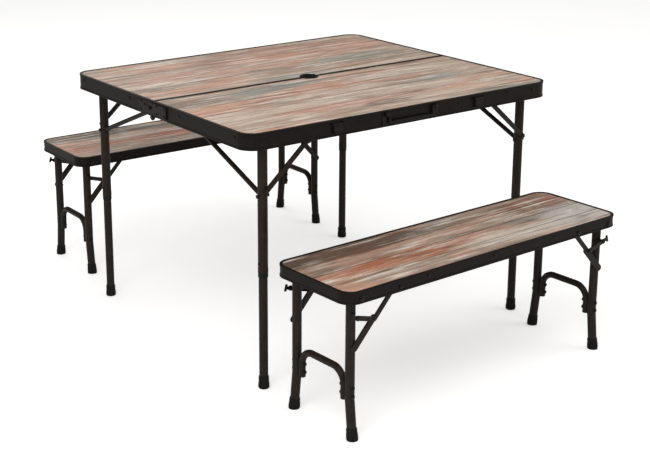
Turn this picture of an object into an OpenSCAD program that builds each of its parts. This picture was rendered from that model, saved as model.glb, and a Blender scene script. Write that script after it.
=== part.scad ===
// Folding camping table that closes like a case, with two folding benches.
// Millimetres. The ground is z = 0, the fold of the table runs along X.

/* [Table] */
// Length of the table top, along the fold
table_length = 1045; // [900:5:1200]
// Width of the opened table top, across the fold
table_width = 905; // [840:5:1000]
// Height of the table top above the ground
table_height = 700; // [660:5:760]
// Height of the rim round each leaf
rim_height = 44; // [42:1:56]
// Outer corner radius of the table top
table_corner = 45; // [30:1:60]
// Gap between the two leaves along the fold
fold_gap = 1; // [0.8:0.1:2]
// Radius of the parasol hole
hole_radius = 20; // [12:1:24]
// Width of the flange round the parasol hole
hole_flange = 7; // [4:1:10]

/* [Rim section] */
// Wall of the rim section
rim_wall = 2; // [1.5:0.1:3]
// How far the beads stand out of the rim wall
bead = 1.2; // [0.6:0.1:2]
// Height of each bead
bead_height = 4.5; // [3:0.5:6]
// Width of the lip over the board
lip = 6.5; // [4:0.5:12]
// Thickness of the lip
lip_thickness = 1.2; // [1:0.1:2]
// Width of the ledge under the board
ledge = 12.5; // [10:0.5:16]
// Thickness of the ledge under the board
ledge_thickness = 1.5; // [1:0.1:2]
// Width of the bottom flange of the rim
flange = 9; // [6:0.5:11]
// Thickness of the top board
board = 5; // [3:0.5:6]

/* [Table legs] */
// Diameter of the upper leg tube
leg_d = 26; // [22:0.5:27]
// Wall of the upper leg tube
leg_wall = 1.2; // [1:0.1:1.6]
// Distance of the leg axes from the ends of the table
leg_inset = 65.5; // [60:0.5:110]
// Distance of the outer leg of a leaf from its long edge
leg_edge_outer = 31; // [28:1:50]
// Distance of the inner leg of a leaf from its long edge
leg_edge_inner = 49; // [46:1:70]
// Height of the joint between upper and lower leg
leg_joint_z = 322; // [300:1:340]
// How far the lower leg slides up into the upper one
leg_travel = 280; // [200:5:285]
// How far the lower leg reaches into the upper one at rest
leg_overlap = 60; // [40:5:62]
// Radial clearance of sliding and turning fits
fit = 0.05; // [0.02:0.01:0.1]
// Diameter of the leg's foot cap
foot_d = 29; // [28:0.5:34]
// Height of the leg's foot cap
foot_height = 34; // [25:1:38]
// Diameter of the pivot tube that carries a leg
pivot_d = 18; // [14:0.5:20]
// Where the pivot tube ends, from the fold line
pivot_end = 42; // [36:1:50]
// Diameter of the cross brace welded to a leg
cross_brace_d = 13; // [10:0.5:16]
// Height at which the cross brace meets the leg
cross_brace_z = 527; // [520:1:540]
// Where the cross brace meets the pivot tube, from the fold line
cross_brace_end = 55; // [52:1:80]
// Distance of the sliding brace's pin below the pivot
brace_drop = 134; // [128:1:140]
// Reach of the sliding brace along the leaf
brace_run = 152; // [140:1:170]
// Width of the flat braces
brace_width = 13; // [10:0.5:15]
// Thickness of the flat braces
brace_thickness = 5; // [3:0.5:5]

/* [Table fittings] */
// Length of each hinge plate along the rim
hinge_length = 71; // [60:1:80]
// Thickness of the hinge plates
hinge_plate = 2; // [1.5:0.1:3]
// Radius of the hinge eyes
hinge_eye = 9; // [8:0.5:11]
// Radius of the hinge pins
hinge_pin = 4; // [3:0.5:5]
// Length of the lock lever, from its pin to its nose
lock_length = 42.5; // [28:1:43]
// Distance of the lock lever's pin from the fold line
lock_pin_y = 44; // [44:1:56]
// Distance between the lugs of the carry handle
handle_span = 170; // [110:5:200]
// Drop of the carry handle
handle_drop = 22; // [18:1:24]
// Diameter of the carry handle's bar
handle_d = 8; // [6:0.5:9]
// Distance of the case latches from the middle
latch_x = 245; // [200:5:300]
// Width of a case latch
latch_width = 36; // [26:1:44]

/* [Benches] */
// Length of a bench seat
bench_length = 972; // [900:2:1040]
// Width of a bench seat
bench_width = 282; // [274:1:310]
// Height of a bench seat
bench_height = 393; // [380:1:450]
// Height of the rim round a seat
bench_rim = 31; // [30:0.5:36]
// Corner radius of a seat
bench_corner = 38; // [25:1:50]
// Diameter of the bench leg tubes
bench_leg_d = 24; // [20:0.5:24]
// Distance of the bench leg frames from the ends of the seat
bench_leg_inset = 42; // [38:1:66]
// Distance of the bench legs from the long edges of the seat, at the top
bench_leg_edge = 39.5; // [39:0.5:44]
// How far the feet stand further out than the top of the legs
bench_splay = 11; // [0:1:12]
// Height below which the bench legs lean outwards
bench_bend_z = 105; // [90:1:125]
// Diameter of the arch tube between two bench legs
arch_d = 18; // [14:0.5:20]
// Height of the arch
arch_z = 172; // [165:1:200]
// Bend radius of the arch
arch_bend = 40; // [25:1:55]
// Height at which the arch's arms end
arch_foot_z = 98; // [92:1:110]
// Diameter of a bench foot
bench_foot_d = 29; // [27:0.5:34]
// Height of a bench foot
bench_foot_height = 30; // [24:1:36]
// Distance of the stay's pin below the pivot of a bench leg
stay_drop = 134; // [120:1:140]
// Reach of the folded-out stay along the seat
stay_run = 124; // [110:1:130]
// Distance of the catch pin below the pivot of a bench leg
catch_drop = 54; // [48:1:60]
// Length of the catch between pin and knee
catch_length = 55; // [45:1:56]
// How far the catch's finger tab reaches outwards
tab_reach = 17; // [14:1:20]
// Width of the catch's finger tab
tab_width = 18; // [14:1:20]
// Thickness of the flat stays
stay_thickness = 4.6; // [3:0.1:4.8]
// Width of the lower stay
stay_width = 17; // [12:0.5:18]
// Width of the upper stay
stay_upper_width = 12; // [9:0.5:13]

/* [Places] */
// Distance from the table's middle to the front bench's middle
front_bench_y = 657; // [650:1:760]
// Distance from the table's middle to the back bench's middle
back_bench_y = 718; // [650:1:760]
// Shift of the front bench along the fold
front_bench_x = -14; // [-30:1:30]
// Shift of the back bench along the fold
back_bench_x = 36; // [-40:1:40]
// Turn of the front bench, degrees
front_bench_turn = 2.5; // [-3:0.1:3]
// Turn of the back bench, degrees
back_bench_turn = -0.9; // [-3:0.1:3]

/* [Hidden] */
$fn = 48;
// Clearance between faces of different moving pieces
gap = 0.4;
leaf_depth = (table_width - fold_gap) / 2;
leg_x = table_length / 2 - leg_inset;
leg_y_outer = leaf_depth - leg_edge_outer;
leg_y_inner = leaf_depth - leg_edge_inner;
bench_leg_x = bench_length / 2 - bench_leg_inset;
bench_leg_y = bench_width / 2 - bench_leg_edge;
board_gap = 0.2;
pivot_z = rim_height - lip_thickness - board - leg_d / 2 - 5.8;
pivot_height = table_height - rim_height + pivot_z;
drop_angle = atan2(brace_drop, brace_run);
brace_length = norm([brace_drop, brace_run]);
lower_leg_d = leg_d - 2 * leg_wall - 2 * fit;
axis_drop = 0.4;
bench_pivot_z = bench_height - lip_thickness - board - bench_leg_d / 2 - 0.8;
stay_angle = atan2(stay_drop, stay_run);
stay_total = norm([stay_drop, stay_run]);
stay_split = stay_drop - stay_run;
stay_lower_length = (stay_total - stay_split) / 2;
stay_upper_length = (stay_total + stay_split) / 2;
pin_r = 4;
pivot_pin_r = 6;
arch_y = bench_leg_y - bench_leg_d / 2 - arch_d / 2;
foot_floor = leg_wall + 3;
bench_foot_y = bench_leg_y + bench_splay;
bench_lean = atan2(bench_splay, bench_bend_z - foot_floor);
bracket_plate = 4;
bracket_foot = 1.8;

// How far a turned bench reaches from its own middle, across the fold
function bench_reach(turn) =
    (bench_width / 2 - bench_corner) * cos(turn)
    + (bench_length / 2 - bench_corner) * abs(sin(turn)) + bench_corner + bead;
// The origin is the middle of the whole set's footprint
table_y = (front_bench_y + bench_reach(front_bench_turn) - back_bench_y - bench_reach(back_bench_turn)) / 2;

// Cylinder along X, Y or Z between two heights on that axis
module rod_x(x0, x1, r) {
    translate([min(x0, x1), 0, 0]) rotate([0, 90, 0]) cylinder(h = abs(x1 - x0), r = r);
}
module rod_y(y0, y1, r) {
    translate([0, max(y0, y1), 0]) rotate([90, 0, 0]) cylinder(h = abs(y1 - y0), r = r);
}
// Straight tube or rod between two points
module rod(a, b, r) {
    v = b - a;
    translate(a) rotate([0, acos(v[2] / norm(v)), atan2(v[1], v[0])]) cylinder(h = norm(v), r = r);
}
// Flat bar with round ends in the X-Z plane, from the origin at an angle, y0 to y1
module bar(length, angle, width, y0, y1) {
    translate([0, max(y0, y1), 0]) rotate([90, 0, 0]) linear_extrude(abs(y1 - y0)) rotate(angle) {
        translate([0, -width / 2]) square([length, width]);
        circle(d = width);
        translate([length, 0]) circle(d = width);
    }
}

// Outline of one leaf, fold side at y = 0, moved in from the edge by an inset
module leaf_outline(inset) {
    r = table_corner - inset;
    x1 = table_length / 2 - inset;
    y0 = max(inset, 0);
    y1 = leaf_depth - inset;
    translate([-x1, y0]) square([2 * x1, y1 - r - y0]);
    translate([-x1 + r, y0]) square([2 * (x1 - r), y1 - y0]);
    for (s = [-1, 1]) translate([s * (x1 - r), y1 - r]) circle(r);
}
// Outline of a bench seat
module seat_outline(inset) {
    r = bench_corner - inset;
    x1 = bench_length / 2 - inset;
    y1 = bench_width / 2 - inset;
    translate([-x1, -y1 + r]) square([2 * x1, 2 * (y1 - r)]);
    translate([-x1 + r, -y1]) square([2 * (x1 - r), 2 * y1]);
    for (s = [-1, 1], t = [-1, 1]) translate([s * (x1 - r), t * (y1 - r)]) circle(r);
}
// Closed band between two insets, leaf or seat
module band(seat, z0, z1, outer, inner) {
    translate([0, 0, z0]) linear_extrude(z1 - z0) difference() {
        if (seat) seat_outline(outer); else leaf_outline(outer);
        if (seat) seat_outline(inner); else leaf_outline(inner);
    }
}
// Rim section swept round a leaf or a seat
module rim_section(seat, height) {
    top = height - lip_thickness;
    band(seat, 0, height, 0, rim_wall);
    band(seat, 0, bead_height, -bead, rim_wall);
    band(seat, height - bead_height, height, -bead, rim_wall);
    band(seat, top, height, -bead, lip);
    band(seat, top - board - ledge_thickness, top - board, rim_wall / 2, ledge);
    band(seat, 0, ledge_thickness, rim_wall / 2, flange);
}

// Places a piece made in leaf coordinates on the back leaf or, turned round, on the front leaf
module on_leaf(front) {
    translate([0, table_y, table_height - rim_height]) rotate(front ? 180 : 0)
        translate([0, fold_gap / 2, 0]) children();
}
// Places a piece made in bench coordinates
module on_bench(front) {
    if (front) translate([front_bench_x, table_y - front_bench_y, 0]) rotate(front_bench_turn) children();
    else translate([back_bench_x, table_y + back_bench_y, 0]) rotate(back_bench_turn) children();
}

module hole_cut(r) {
    translate([0, -fold_gap / 2, -1]) cylinder(h = rim_height + 10, r = r);
}
module leaf_board() {
    difference() {
        translate([0, 0, rim_height - lip_thickness - board]) linear_extrude(board)
            leaf_outline(rim_wall + board_gap);
        hole_cut(hole_radius + rim_wall + gap);
    }
}
module leaf_rim() {
    difference() {
        rim_section(false, rim_height);
        hole_cut(hole_radius + rim_wall + gap);
        // The bottom bead stops short of the hinge plates
        for (s = [-1, 1]) translate([s * (table_length / 2 + 5) - 5, -1, -1])
            cube([10, hinge_length + 2, bead_height + 2]);
    }
}
module hole_collar() {
    sleeve = board + lip_thickness + ledge_thickness;
    reach = hole_radius + hole_flange + 5;
    intersection() {
        translate([0, -fold_gap / 2, 0]) difference() {
            union() {
                translate([0, 0, rim_height - sleeve]) cylinder(h = sleeve + 1, r = hole_radius + rim_wall);
                translate([0, 0, rim_height]) cylinder(h = 1.5, r = hole_radius + hole_flange);
            }
            translate([0, 0, rim_height - sleeve - 1]) cylinder(h = sleeve + 10, r = hole_radius);
        }
        translate([-reach, 0, 0]) cube([2 * reach, reach, rim_height + 10]);
    }
}

// Side hinge: the back plates carry the pins, the front plates turn on them
hinge_z0 = bead_height + 1.5;
hinge_z1 = rim_height - bead_height - 1;
module hinge_side(s) {
    translate([s * table_length / 2, 0, 0]) side(s) children();
}
module side(s) {
    mirror([s > 0 ? 0 : 1, 0, 0]) children();
}
module back_hinge_plate() {
    axis_y = -fold_gap / 2;
    translate([0, gap, hinge_z0]) cube([hinge_plate, hinge_length - gap, hinge_z1 - hinge_z0]);
    translate([0, axis_y, -axis_drop]) rod_x(0, hinge_plate, hinge_eye);
    translate([0, gap, -axis_drop]) cube([hinge_plate, hinge_eye - gap - fold_gap, hinge_z0 + axis_drop]);
    translate([0, axis_y, -axis_drop]) rod_x(0, 2 * hinge_plate + 2 * gap, hinge_pin);
    translate([2 * hinge_plate + 2 * gap, axis_y, -axis_drop]) rod_x(0, 1.6, hinge_pin + 2.5);
    // Pin of the lock lever
    translate([0, lock_pin_y, (hinge_z0 + hinge_z1) / 2]) rod_x(0, 2 * hinge_plate + 2 * gap, hinge_pin);
}
module front_hinge_plate() {
    axis_y = -fold_gap / 2;
    x0 = hinge_plate + gap;
    difference() {
        union() {
            translate([0, hinge_eye + 4, hinge_z0])
                cube([x0 + hinge_plate, hinge_length - hinge_eye - 4, hinge_z1 - hinge_z0]);
            translate([x0, axis_y, -axis_drop]) rod_x(0, hinge_plate, hinge_eye);
            // Ear that narrows from the eye to the lock lever's nose
            translate([x0, 0, 0]) rotate([90, 0, 90]) linear_extrude(hinge_plate) polygon([
                [axis_y - hinge_eye, -axis_drop], [hinge_eye + 6, -axis_drop],
                [hinge_eye + 6, hinge_z1], [hinge_eye - 4, hinge_z1]]);
        }
        translate([-1, axis_y, -axis_drop]) rod_x(0, 10, hinge_pin + fit);
    }
}
// Lever that keeps the opened leaves in line, its nose against the front plate's ear
module lock_lever() {
    nose = 5;
    translate([hinge_plate + gap, lock_pin_y, (hinge_z0 + hinge_z1) / 2]) difference() {
        union() {
            rod_x(0, hinge_plate, hinge_pin + 4);
            translate([0, nose - lock_length, -nose]) cube([hinge_plate, lock_length - nose, 2 * nose]);
            translate([0, nose - lock_length, 0]) rod_x(0, hinge_plate, nose);
            translate([0, 2 * nose - lock_length, 0]) rod_x(0, hinge_plate + 4, nose - 1);
        }
        rod_x(-1, 10, hinge_pin + fit);
    }
}

// Leg side: 1 is the outer leg of a leaf, at +X, and -1 the inner leg, at -X
function leg_y(side) = (side > 0 ? leg_y_outer : leg_y_inner) - fold_gap / 2;
// The flat brace lies on the rim side of its leg
function brace_y0(side) = leg_y(side) + leg_d / 2 + gap;
leg_bottom = leg_joint_z - (table_height - rim_height);
cross_brace_low = cross_brace_z - (table_height - rim_height);
ground = -(table_height - rim_height);

module upper_leg(side) {
    x = side * leg_x;
    y = leg_y(side);
    head_y = leg_d / 2 + 2 * gap + brace_thickness;
    bolt_x = leg_d / 2 + 4.5;
    top = pivot_z + leg_d / 2;
    difference() {
        union() {
            translate([x, y, leg_bottom]) cylinder(h = top - leg_bottom, d = leg_d);
            translate([x, y, leg_bottom]) cylinder(h = 14, d = leg_d + 0.8);
            translate([x, 0, pivot_z]) rod_y(pivot_end, y, pivot_d / 2);
            rod([x, cross_brace_end, pivot_z - pivot_d / 2 + 2],
                [x, y - leg_d / 4, cross_brace_low], cross_brace_d / 2);
            translate([x, y, pivot_z - brace_drop]) {
                rod_y(0, head_y, pin_r);
                rod_y(head_y, head_y + 1.8, pin_r + 2);
            }
            // Bolt that holds the cross brace's foot, with a head on both sides of the leg
            translate([x, y, cross_brace_low]) rod_x(-bolt_x, bolt_x, pin_r + 0.5);
        }
        translate([x, y, leg_bottom - 1]) cylinder(h = top - leg_bottom - 1, d = leg_d - 2 * leg_wall);
    }
}
module lower_leg(side) {
    length = leg_joint_z + leg_overlap - leg_wall;
    translate([side * leg_x, leg_y(side), ground + foot_floor]) difference() {
        cylinder(h = length - 3, d = lower_leg_d);
        translate([0, 0, -1]) cylinder(h = length, d = lower_leg_d - 2 * leg_wall);
    }
}
module leg_foot(side) {
    translate([side * leg_x, leg_y(side), ground]) difference() {
        rotate_extrude() polygon([
            [0, 0], [foot_d / 2 - 2, 0], [foot_d / 2, 2], [foot_d / 2, foot_height * 0.45],
            [foot_d / 2 - 0.8, foot_height * 0.5], [foot_d / 2 - 0.8, foot_height - 1],
            [foot_d / 2 - 1.8, foot_height], [0, foot_height]]);
        translate([0, 0, foot_floor]) cylinder(h = foot_height, d = lower_leg_d);
    }
}
module slide_brace(side) {
    y0 = brace_y0(side);
    angle = side > 0 ? 180 - drop_angle : drop_angle;
    translate([side * leg_x, 0, pivot_z - brace_drop]) difference() {
        union() {
            bar(brace_length, angle, brace_width, y0, y0 + brace_thickness);
            // Roller that runs under the track, on the side away from the leg
            translate([-side * brace_run, 0, brace_drop])
                rod_y(y0, y0 + brace_thickness + gap + 2.4, brace_width / 2 - 0.3);
        }
        rod_y(y0 - 1, y0 + brace_thickness + 1, pin_r + fit);
    }
}
// Brackets that carry the pivot tubes, and the tracks for the sliding braces
module leg_bracket(side, y) {
    under = rim_height - lip_thickness - board;
    ear = pivot_d / 2 + 4;
    translate([side * leg_x, 0, pivot_z]) difference() {
        union() {
            translate([0, y, 0]) rod_y(0, bracket_plate, ear);
            translate([-ear, y, 0]) cube([2 * ear, bracket_plate, under - pivot_z]);
            translate([-ear - 6, y - 8, under - pivot_z - bracket_foot])
                cube([2 * ear + 12, 16 + bracket_plate, bracket_foot]);
        }
        translate([0, y - 1, 0]) rod_y(0, bracket_plate + 2, pivot_d / 2 + fit);
    }
}
module brace_track(side) {
    under = rim_height - lip_thickness - board - (side > 0 ? ledge_thickness : 0);
    y0 = brace_y0(side) + brace_thickness + gap;
    far = leg_x - brace_drop - brace_length;
    near = leg_x - brace_run;
    z0 = pivot_z + brace_width / 2 + gap;
    x0 = side > 0 ? far - 12 : -near - 12;
    translate([x0, y0, z0]) cube([near - far + 24, 3, under - z0]);
}
module leaf_brackets() {
    for (side = [-1, 1]) {
        leg_bracket(side, leg_y(side) - leg_d / 2 - 14);
        leg_bracket(side, pivot_end + 2);
        brace_track(side);
    }
}

// Carry handle and case latches on the outer long rim of the front leaf
fitting_plate = 1.6;
handle_axis_z = rim_height - bead_height - handle_d / 2 - 2;
handle_y = leaf_depth + handle_d / 2 + bead + 0.8;
handle_pin = 2.5;
lug_width = 10;
lug_plate = 24;
plate_z0 = bead_height + 1;
plate_height = rim_height - 2 * plate_z0;
module handle_lug(x) {
    r = handle_d / 2 + 1.6;
    translate([x, handle_y, handle_axis_z]) difference() {
        union() {
            rod_x(-lug_width / 2, lug_width / 2, r);
            translate([-lug_width / 2, leaf_depth - handle_y, -r])
                cube([lug_width, handle_y - leaf_depth, 2 * r]);
        }
        rod_x(-lug_width, lug_width, handle_pin + fit);
    }
    translate([x - lug_plate / 2, leaf_depth, plate_z0]) cube([lug_plate, fitting_plate, plate_height]);
}
module carry_handle() {
    half = handle_span / 2 - lug_width / 2 - handle_d / 2 - gap;
    r = handle_d / 2;
    translate([0, handle_y, handle_axis_z]) {
        for (s = [-1, 1]) {
            translate([s * half, 0, 0]) side(s) rod_x(0, handle_span / 2 + lug_width / 2 - half, handle_pin);
            translate([s * half, 0, -handle_drop]) cylinder(h = handle_drop, r = r);
            translate([s * half, 0, 0]) sphere(r = r);
            translate([s * half, 0, -handle_drop]) sphere(r = r);
        }
        translate([0, 0, -handle_drop]) rod_x(-half, half, r);
    }
}
latch_z = rim_height - bead_height - 7;
latch_y = leaf_depth + 5.5;
latch_pin = 1.5;
latch_ear = 3;
module latch_base(x) {
    translate([x - latch_width / 2, leaf_depth, plate_z0]) cube([latch_width, fitting_plate, plate_height]);
    for (s = [-1, 1]) translate([x + s * (latch_width - latch_ear) / 2, 0, 0]) difference() {
        translate([-latch_ear / 2, leaf_depth, latch_z - 4]) cube([latch_ear, latch_y + 3.5 - leaf_depth, 8]);
        translate([0, latch_y, latch_z]) rod_x(-latch_ear, latch_ear, latch_pin + fit);
    }
}
// The flap hangs from the pin, with a curled finger edge along the bottom
module case_latch(x) {
    inner = latch_width / 2 - latch_ear - gap;
    drop = latch_z - plate_z0 - 3;
    translate([x, latch_y, latch_z]) {
        rod_x(-latch_width / 2, latch_width / 2, latch_pin);
        rod_x(-inner, inner, latch_pin + 1.5);
        translate([-inner, -1.5, -drop]) cube([2 * inner, 3, drop]);
        translate([-inner, -1.5, -drop]) cube([2 * inner, 5, 3]);
    }
}
module rim_fittings() {
    for (s = [-1, 1]) {
        handle_lug(s * (handle_span / 2));
        latch_base(s * latch_x);
    }
}

// Bench pieces, in bench coordinates
module bench_board() {
    translate([0, 0, bench_height - lip_thickness - board]) linear_extrude(board)
        seat_outline(rim_wall + board_gap);
}
module bench_rim() {
    difference() {
        translate([0, 0, bench_height - bench_rim]) rim_section(true, bench_rim);
        // Holes for the pivots of the legs and of the upper stays
        for (s = [-1, 1]) translate([s * bench_leg_x, 0, bench_pivot_z]) {
            rod_y(-bench_width, bench_width, pivot_pin_r + fit);
            translate([-s * stay_run, 0, 0]) rod_y(-bench_width, bench_width, pin_r + fit);
        }
    }
}
// Inner face of each layer of stays outside the legs: 0 lower stay, 1 upper stay, 2 catch
function stay_y(layer) = bench_leg_y + bench_leg_d / 2 + gap + layer * (stay_thickness + gap);
// One bent leg tube, or the bore in it
module bench_tube(t, r) {
    translate([0, t * bench_leg_y, bench_bend_z]) {
        cylinder(h = bench_pivot_z - bench_bend_z, r = r);
        sphere(r = r);
    }
    rod([0, t * bench_leg_y, bench_bend_z], [0, t * (bench_foot_y + foot_floor * tan(bench_lean)), 0], r);
}
module bench_legs(s) {
    head_y = bench_width / 2 + gap;
    translate([s * bench_leg_x, 0, 0]) {
        for (t = [-1, 1]) {
            difference() {
                bench_tube(t, bench_leg_d / 2);
                bench_tube(t, bench_leg_d / 2 - leg_wall);
                translate([0, 0, -20]) cylinder(h = 20 + foot_floor, r = bench_width);
            }
            translate([0, 0, bench_pivot_z - stay_drop])
                rod_y(t * bench_leg_y, t * (stay_y(0) + stay_thickness), pin_r);
            translate([0, 0, bench_pivot_z - catch_drop])
                rod_y(t * bench_leg_y, t * (stay_y(2) + stay_thickness - 0.6), pin_r - 0.5);
            translate([0, 0, bench_pivot_z]) rod_y(t * head_y, t * (head_y + 1.8), pivot_pin_r + 1);
            translate([0, t * bench_leg_y, bench_pivot_z])
                rod_y(-bench_leg_d / 2, bench_leg_d / 2, bench_leg_d / 2 - 0.5);
        }
        translate([0, 0, bench_pivot_z]) rod_y(-bench_leg_y, bench_leg_y, bench_leg_d / 2 - 3);
        translate([0, 0, bench_pivot_z]) rod_y(-head_y - 1, head_y + 1, pivot_pin_r);
    }
}
// The bent arch tube from a height up, or the bore in it
module arch_tube(z0, r) {
    bend_z = arch_z - arch_bend;
    for (t = [-1, 1]) {
        translate([0, t * arch_y, z0]) cylinder(h = bend_z - z0, r = r);
        translate([0, t * (arch_y - arch_bend), bend_z]) rotate([90, 0, t * 90])
            rotate_extrude(angle = 90) translate([arch_bend, 0]) circle(r = r);
    }
    translate([0, 0, arch_z]) rod_y(-arch_y + arch_bend, arch_y - arch_bend, r);
}
module bench_arch(s) {
    translate([s * bench_leg_x, 0, 0]) difference() {
        arch_tube(arch_foot_z, arch_d / 2);
        arch_tube(arch_foot_z - 1, arch_d / 2 - leg_wall);
    }
}
// Foot caps in line with the leaning tubes, cut level with the ground
module bench_feet(s) {
    r = bench_foot_d / 2;
    h = bench_foot_height;
    for (t = [-1, 1]) difference() {
        translate([s * bench_leg_x, t * bench_foot_y, foot_floor]) rotate([t * bench_lean, 0, 0])
            translate([0, 0, -foot_floor]) rotate_extrude() polygon([
                [0, -3], [r, -3], [r, h * 0.55], [r - 0.7, h * 0.62],
                [r - 0.7, h - 2], [r - 1.6, h], [0, h]]);
        translate([s * bench_leg_x, 0, -20]) cylinder(h = 20, r = bench_width);
        intersection() {
            translate([s * bench_leg_x, 0, 0]) bench_tube(t, bench_leg_d / 2 + fit);
            translate([s * bench_leg_x, 0, foot_floor]) cylinder(h = bench_leg_d * 2, r = bench_width);
        }
    }
}
module bench_stays_lower(s) {
    angle = s > 0 ? 180 - stay_angle : stay_angle;
    for (t = [-1, 1]) translate([s * bench_leg_x, 0, bench_pivot_z - stay_drop]) difference() {
        bar(stay_lower_length, angle, stay_width, t * stay_y(0), t * (stay_y(0) + stay_thickness));
        rod_y(-bench_width, bench_width, pin_r + fit);
    }
}
module bench_stays_upper(s) {
    angle = s > 0 ? -stay_angle : stay_angle - 180;
    head_y = bench_width / 2 + gap;
    for (t = [-1, 1]) translate([s * (bench_leg_x - stay_run), 0, bench_pivot_z]) {
        bar(stay_upper_length, angle, stay_upper_width, t * stay_y(1), t * (stay_y(1) + stay_thickness));
        // Rivet through the rim, fixed in the stay
        rod_y(t * stay_y(1), t * (head_y + 1.8), pin_r);
        rod_y(t * head_y, t * (head_y + 1.8), pin_r + 1.5);
    }
}
// Catch between the upper pin on the leg and the knee of the stay, with a finger tab
module bench_catches(s) {
    knee_x = stay_lower_length * cos(stay_angle);
    knee_z = stay_lower_length * sin(stay_angle) - (stay_drop - catch_drop);
    tilt = atan2(knee_z, knee_x);
    angle = s > 0 ? 180 - tilt : tilt;
    y0 = stay_y(2);
    y1 = y0 + stay_thickness - 0.8;
    for (t = [-1, 1]) translate([s * bench_leg_x, t > 0 ? y1 : -y0, bench_pivot_z - catch_drop])
        rotate([90, 0, 0]) linear_extrude(y1 - y0) rotate(angle) difference() {
            union() {
                translate([0, -stay_upper_width / 2]) square([catch_length, stay_upper_width]);
                circle(d = stay_upper_width);
                translate([catch_length, 0]) circle(d = stay_upper_width);
                translate([-tab_reach, -4]) square([tab_reach, 8]);
                translate([-tab_reach - 2, -tab_width / 2]) square([5, tab_width]);
            }
            circle(pin_r - 0.5 + fit);
        }
}

wood = "#a8806a";
paint = "#2e2a28";
plastic = "#1d1c1b";
metal = "#5a5653";

module back_top_board() { color(wood) on_leaf(false) leaf_board(); }
module front_top_board() { color(wood) on_leaf(true) leaf_board(); }
module back_rim_frame() { color(paint) on_leaf(false) leaf_rim(); }
module front_rim_frame() { color(paint) on_leaf(true) leaf_rim(); }
module back_hole_collar() { color(plastic) on_leaf(false) hole_collar(); }
module front_hole_collar() { color(plastic) on_leaf(true) hole_collar(); }
module back_hinge_plates() {
    color(metal) on_leaf(false) for (s = [-1, 1]) hinge_side(s) back_hinge_plate();
}
module front_hinge_plates() {
    color(metal) on_leaf(true) for (s = [-1, 1]) hinge_side(s) front_hinge_plate();
}
module hinge_lock_left() { color(metal) on_leaf(false) hinge_side(-1) lock_lever(); }
module hinge_lock_right() { color(metal) on_leaf(false) hinge_side(1) lock_lever(); }
module carry_handle_piece() { color(plastic) on_leaf(true) carry_handle(); }
module rim_fittings_piece() { color(metal) on_leaf(true) rim_fittings(); }
module case_latch_piece(x) { color(metal) on_leaf(true) case_latch(x); }
module leg_brackets(front) { color(metal) on_leaf(front) leaf_brackets(); }
module leg_piece(front, side) { color(paint) on_leaf(front) upper_leg(side); }
module lower_leg_piece(front, side) { color(paint) on_leaf(front) lower_leg(side); }
module foot_piece(front, side) { color(plastic) on_leaf(front) leg_foot(side); }
module brace_piece(front, side) { color(paint) on_leaf(front) slide_brace(side); }
module bench_board_piece(front) { color(wood) on_bench(front) bench_board(); }
module bench_rim_piece(front) { color(paint) on_bench(front) bench_rim(); }
module bench_legs_piece(front, s) { color(paint) on_bench(front) bench_legs(s); }
module bench_arch_piece(front, s) { color(paint) on_bench(front) bench_arch(s); }
module bench_feet_piece(front, s) { color(plastic) on_bench(front) bench_feet(s); }
module stays_lower_piece(front, s) { color(paint) on_bench(front) bench_stays_lower(s); }
module stays_upper_piece(front, s) { color(paint) on_bench(front) bench_stays_upper(s); }
module catches_piece(front, s) { color(metal) on_bench(front) bench_catches(s); }

back_top_board();
front_top_board();
back_rim_frame();
front_rim_frame();
back_hole_collar();
front_hole_collar();
back_hinge_plates();
front_hinge_plates();
hinge_lock_left();
hinge_lock_right();
carry_handle_piece();  // carry_handle
rim_fittings_piece();  // rim_fittings
case_latch_piece(latch_x);  // case_latch_left
case_latch_piece(-latch_x);  // case_latch_right
leg_brackets(false);  // back_leg_brackets
leg_brackets(true);  // front_leg_brackets
leg_piece(false, 1);  // leg_back_right
leg_piece(false, -1);  // leg_back_left
leg_piece(true, 1);  // leg_front_left
leg_piece(true, -1);  // leg_front_right
lower_leg_piece(false, 1);  // lower_leg_back_right
lower_leg_piece(false, -1);  // lower_leg_back_left
lower_leg_piece(true, 1);  // lower_leg_front_left
lower_leg_piece(true, -1);  // lower_leg_front_right
foot_piece(false, 1);  // foot_back_right
foot_piece(false, -1);  // foot_back_left
foot_piece(true, 1);  // foot_front_left
foot_piece(true, -1);  // foot_front_right
brace_piece(false, 1);  // brace_back_right
brace_piece(false, -1);  // brace_back_left
brace_piece(true, 1);  // brace_front_left
brace_piece(true, -1);  // brace_front_right
bench_board_piece(true);  // front_bench_board
bench_rim_piece(true);  // front_bench_rim
bench_board_piece(false);  // back_bench_board
bench_rim_piece(false);  // back_bench_rim
bench_legs_piece(true, -1);  // front_bench_left_legs
bench_arch_piece(true, -1);  // front_bench_left_arch
bench_feet_piece(true, -1);  // front_bench_left_feet
stays_lower_piece(true, -1);  // front_bench_left_stays_lower
stays_upper_piece(true, -1);  // front_bench_left_stays_upper
catches_piece(true, -1);  // front_bench_left_catches
bench_legs_piece(true, 1);  // front_bench_right_legs
bench_arch_piece(true, 1);  // front_bench_right_arch
bench_feet_piece(true, 1);  // front_bench_right_feet
stays_lower_piece(true, 1);  // front_bench_right_stays_lower
stays_upper_piece(true, 1);  // front_bench_right_stays_upper
catches_piece(true, 1);  // front_bench_right_catches
bench_legs_piece(false, -1);  // back_bench_left_legs
bench_arch_piece(false, -1);  // back_bench_left_arch
bench_feet_piece(false, -1);  // back_bench_left_feet
stays_lower_piece(false, -1);  // back_bench_left_stays_lower
stays_upper_piece(false, -1);  // back_bench_left_stays_upper
catches_piece(false, -1);  // back_bench_left_catches
bench_legs_piece(false, 1);  // back_bench_right_legs
bench_arch_piece(false, 1);  // back_bench_right_arch
bench_feet_piece(false, 1);  // back_bench_right_feet
stays_lower_piece(false, 1);  // back_bench_right_stays_lower
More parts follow.
